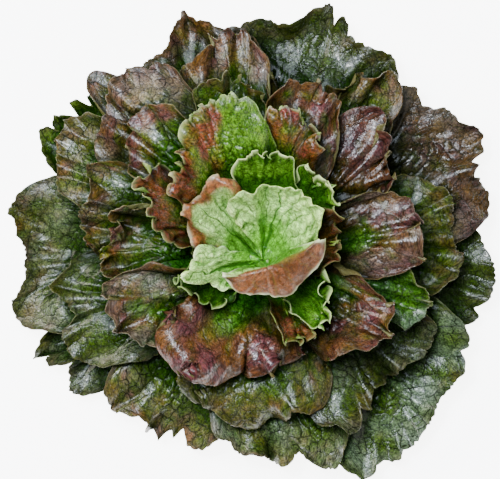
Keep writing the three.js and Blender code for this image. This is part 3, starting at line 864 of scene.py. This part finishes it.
def leaf_material(ring):
    """A waxy blistered leaf: green to red flesh, darker in the net of veins, pale at the rim and the foot."""
    green, red, plum, vein, rim, foot, under = (colour(code) for code in PALETTES[ring])
    material, n, shader = new_material(f"{ring}_leaf")

    def amount(name):
        return n.add("ShaderNodeAttribute", attribute_type="GEOMETRY", attribute_name=name).outputs["Fac"]

    where = n.add("ShaderNodeUVMap", uv_map="leaf").outputs["UV"]
    density = UNIT / RINGS[ring]["cell"]
    main, cells = vein_pattern(n, where, amount("shift"), density, float(ring == "heart"))
    moved = n.shifted(where, amount("shift"))
    broad = n.noise(moved, 5.0, 3.0)
    patch = n.noise(n.vector("ADD", moved, (0.0, 7.0, 0.0)), 11.0, 4.0)
    small = n.edges(moved, 2.4 * density)
    speckle = n.noise(moved, 78.0, 4.0)
    mottle = n.noise(moved, 30.0, 3.0)

    # The flesh, from green to red, with the bare pale foot and the grey wax, which is partly a painted sheen.
    reds = blend(n, n.ramp(broad, 0.30, 0.70), red, plum)
    leafy = n.plus(amount("red"), n.times(n.math("SUBTRACT", patch, 0.5), 0.5))
    leafy = n.plus(leafy, n.times(n.math("SUBTRACT", mottle, 0.5), 0.25))
    flesh = blend(n, n.ramp(leafy, 0.10, 0.92), green, reds)
    bare = n.times(amount("foot"), n.math("SUBTRACT", 0.95, n.times(amount("red"), 0.6)))
    flesh = blend(n, bare, flesh, foot)
    if ring != "heart":
        # Grey wax blended into the flesh, partly a painted blue-grey sheen.
        flesh = blend(n, amount("wax_and_sheen"), flesh, colour("5f6c5c"))
    # Light and dark: specks, patches, painted light on the blister tops with painted shade towards the veins
    # round them, and a darker strip along the margin.
    spotted = 0.3 if ring == "heart" else 0.55
    grainy = n.ramp(speckle, 0.34, 0.66, 1 - spotted, 1 + spotted)
    # Painted light at the middle of each blister cell, painted shade at its edges.
    shade = n.times(n.ramp(cells, 0.0, 0.4, 0.8, 1.15), grainy)
    shade = n.times(shade, n.ramp(patch, 0.3, 0.7, 0.8, 1.2))
    shade = n.times(shade, n.ramp(mottle, 0.3, 0.7, 0.78, 1.25))
    if ring != "heart":
        shade = n.times(shade, n.less(amount("edge"), 0.25))
    flesh = n.scale(flesh, n.times(shade, amount("light")))
    # The veins.
    net = n.ramp(n.plus(cells, n.times(speckle, 0.04)), 0.075, 0.04)
    fine = n.ramp(n.plus(small, n.times(speckle, 0.06)), 0.08, 0.03)
    faint = n.ramp(broad, 0.35, 0.65, *NET_STRENGTH[ring])
    dark = n.math("MAXIMUM", n.times(net, faint), n.times(fine, n.times(faint, 0.3)))
    dark = n.math("MAXIMUM", dark, n.times(main, 0.9 if ring == "heart" else 0.4))
    if ring == "heart":
        dark = n.times(dark, n.less(amount("red"), 0.85))
    flesh = blend(n, dark, flesh, vein)
    # The painted shade between the leaves, the lower face and the rim.
    shaded_flesh = n.vector("MULTIPLY", flesh, (0.16, 0.30, 0.11))
    flesh = blend(n, amount("painted_shade"), flesh, shaded_flesh)
    lower = blend(n, n.times(amount("red"), 0.4), under, red)
    flesh = blend(n, amount("under"), flesh, lower)
    flesh = blend(n, amount("pale"), flesh, rim)

    # The gloss, broken up by grain, dull over the veins, and dulled as painted shade in the depths.
    blistered = amount("blistered")
    roughness = n.math("SUBTRACT", n.ramp(patch, 0.3, 0.7, 0.22, 0.34), n.times(blistered, 0.06))
    grain = n.noise(moved, 95.0, 2.0)
    gloss = n.times(n.ramp(grain, 0.35, 0.65, 0.15, 0.65), n.ramp(cells, 0.0, 0.1, 0.75, 1.0))
    gloss = n.times(gloss, n.less(dark, 0.7))
    gloss = n.times(gloss, n.less(amount("edge"), 0.6))
    gloss = n.times(gloss, n.less(amount("painted_shade"), 0.8))
    n.feed(shader, {
        "Base Color": flesh,
        "Roughness": roughness,
        "Specular IOR Level": gloss,
        "Subsurface Weight": 0.2 if ring in ("inner", "heart") else 0.05,
        "Subsurface Radius": (0.5, 1.0, 0.2),
        "Subsurface Scale": 0.001,
        "Coat Weight": 0.1,
        "Coat Roughness": 0.12,
    })

    # The finest relief.
    bump = n.add("ShaderNodeBump")
    cushion = n.times(n.ramp(cells, 0.0, 0.3), n.plus(0.1, blistered))
    height = n.plus(cushion, n.times(n.ramp(cells, 0.0, 0.08), 0.1))
    height = n.plus(height, n.times(n.ramp(small, 0.0, 0.12), 0.05))
    height = n.plus(height, n.times(speckle, 0.32))
    sparkle = n.ramp(n.noise(moved, 55.0, 2.0), 0.57, 0.64)
    height = n.plus(height, n.times(sparkle, 0.35))
    furrow = n.times(n.times(main, 0.25), n.math("SUBTRACT", 1.0, amount("red")))
    distance = 0.0004 if ring == "heart" else 0.0007
    n.feed(bump, {"Distance": distance, "Height": n.math("SUBTRACT", height, furrow)})
    n.put(shader.inputs["Normal"], bump.outputs["Normal"])
    return material


def stem_material():
    """Pale fibrous stem with a browned cut face."""
    material, n, shader = new_material("stem")
    where = n.add("ShaderNodeTexCoord").outputs["Object"]
    grain = n.add("ShaderNodeTexNoise")
    n.feed(grain, {"Vector": n.vector("MULTIPLY", where, (1.0, 1.0, 0.15)), "Scale": 700})
    side = blend(n, n.ramp(grain.outputs["Fac"], 0.35, 0.65), colour("b9c48a"), colour("d5d8ac"))
    split = n.add("ShaderNodeSeparateXYZ")
    n.put(split.inputs[0], where)
    cut = n.ramp(split.outputs["Z"], 0.0012, 0.0002)
    r = n.add("ShaderNodeVectorMath", operation="LENGTH")
    n.put(r.inputs[0], n.vector("MULTIPLY", where, (1.0, 1.0, 0.0)))
    ring = n.math("SINE", n.times(r.outputs["Value"], 1500))
    face = blend(n, n.ramp(ring, -1, 1), colour("a98a58"), colour("c9b183"))
    paint = blend(n, cut, side, face)
    bump = n.add("ShaderNodeBump")
    n.feed(bump, {"Strength": 0.4, "Distance": 0.0005, "Height": grain.outputs["Fac"]})
    n.feed(shader, {"Base Color": paint, "Roughness": 0.6, "Normal": bump.outputs["Normal"]})
    return material


def add_piece(name, mesh, node):
    piece = add_object(name, mesh)
    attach(piece, "root")
    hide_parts(node)


def make_leaves():
    materials = {ring: leaf_material(ring) for ring in RINGS}
    leaves = lay_all()
    heap = Heap()
    for leaf, (rib, cells) in zip(leaves, sample_veins(leaves)):
        leaf.fold()
        leaf.roll()
        leaf.shape_margin()
        leaf.bulge(rib, cells)
        leaf.rest_on(heap)
    for leaf in leaves:
        mesh = mesh_of(leaf, heap)
        mesh.materials.append(materials[leaf.ring])
        add_piece(f"{leaf.name}_fine", mesh, leaf.name)


def make_stem():
    """The stem, a little uneven, narrowing up to the feet of the leaves, with a cut face and a raised rim."""
    turns, seed = 96, np.random.default_rng(5)
    outline = [(0.0, 0.3), (STEM_RADIUS * 0.45, 0.25), (STEM_RADIUS - 1.2, 0.0), (STEM_RADIUS, 0.8)]
    for layer in (4, 3.5, 3, 2.5, 2, 1.5, 1, 0.3):
        r, z = profile(layer, 0)
        outline.append((float(r) - STEM_GAP, min(float(z), STEM_TIP - 1.5)))
    outline.append((1.5, STEM_TIP - 0.4))
    outline.append((0.0, STEM_TIP))
    steps = np.linspace(0, len(outline) - 1, 60)
    radii, heights = (np.interp(steps, range(len(outline)), numbers)[:, None] for numbers in zip(*outline))
    angle = np.arange(turns) / turns * 2 * math.pi
    uneven = 1 + 0.02 * np.sin(5 * angle + 1) + 0.012 * np.sin(11 * angle + seed.uniform(0, 6))
    places = place(np.degrees(angle), radii * uneven, np.repeat(heights, turns, 1), 0)
    count = len(steps)
    a = np.arange(count - 1)[:, None] * turns + np.arange(turns)
    b = np.arange(count - 1)[:, None] * turns + (np.arange(turns) + 1) % turns
    faces = np.stack([a, b, b + turns, a + turns], -1).reshape(-1, 4)
    mesh = bpy.data.meshes.new("stem_fine")
    mesh.from_pydata((places.reshape(-1, 3) * MM).tolist(), [], faces.tolist())
    mesh.validate()
    mesh.polygons.foreach_set("use_smooth", np.ones(len(mesh.polygons), bool))
    mesh.materials.append(stem_material())
    add_piece("stem_fine", mesh, "stem")


def make_stage():
    """A pale floor, soft light from above and a camera that looks straight down."""
    bpy.ops.mesh.primitive_plane_add(size=12, location=(0, 0, 0))
    floor = bpy.context.object
    floor.name = "floor"
    pale, n, shader = new_material("floor")
    n.feed(shader, {
        "Base Color": (0.86, 0.86, 0.85, 1),
        "Roughness": 0.8,
        "Emission Color": (1, 1, 1, 1),
        "Emission Strength": 6.5,
    })
    floor.data.materials.append(pale)

    def area(name, place_m, size, power, tint):
        light = bpy.data.lights.new(name, "AREA")
        light.size = size
        light.energy = power
        light.color = tint
        lamp = add_object(name, light)
        lamp.location = place_m
        lamp.rotation_euler = (-Vector(place_m)).to_track_quat("-Z", "Y").to_euler()

    area("sky", (-0.45, 0.55, 2.2), 1.1, 104, (0.76, 0.86, 1.0))
    area("side", (-1.7, 0.9, 1.3), 0.8, 62, (1.0, 0.92, 0.80))
    area("fill", (1.5, -0.9, 1.4), 0.8, 9, (1.0, 0.96, 0.90))
    area("key", (-0.6, 0.5, 2.4), 0.08, 34, (0.96, 0.98, 1.0))
    world = bpy.data.worlds.new("studio")
    world.use_nodes = True
    background = world.node_tree.nodes["Background"]
    Nodes(world.node_tree).feed(background, {"Color": (0.80, 0.86, 0.95, 1), "Strength": 0.045})
    bpy.context.scene.world = world

    # The photo is 500 pixels wide at 0.66 mm a pixel, and the head's axis is at pixel (260, 250) in it.
    pixel = 0.66 * MM
    frame_width, frame_height = 500, 479
    axis_x, axis_y = 260, 250
    distance = 3.0
    camera = bpy.data.cameras.new("camera")
    camera.sensor_width = 36
    camera.lens = camera.sensor_width * distance / (frame_width * pixel)
    view = add_object("camera", camera)
    view.location = ((frame_width / 2 - axis_x) * pixel, (axis_y - frame_height / 2) * pixel, distance + 0.05)
    bpy.context.scene.camera = view


make_leaves()
make_stem()
make_stage()
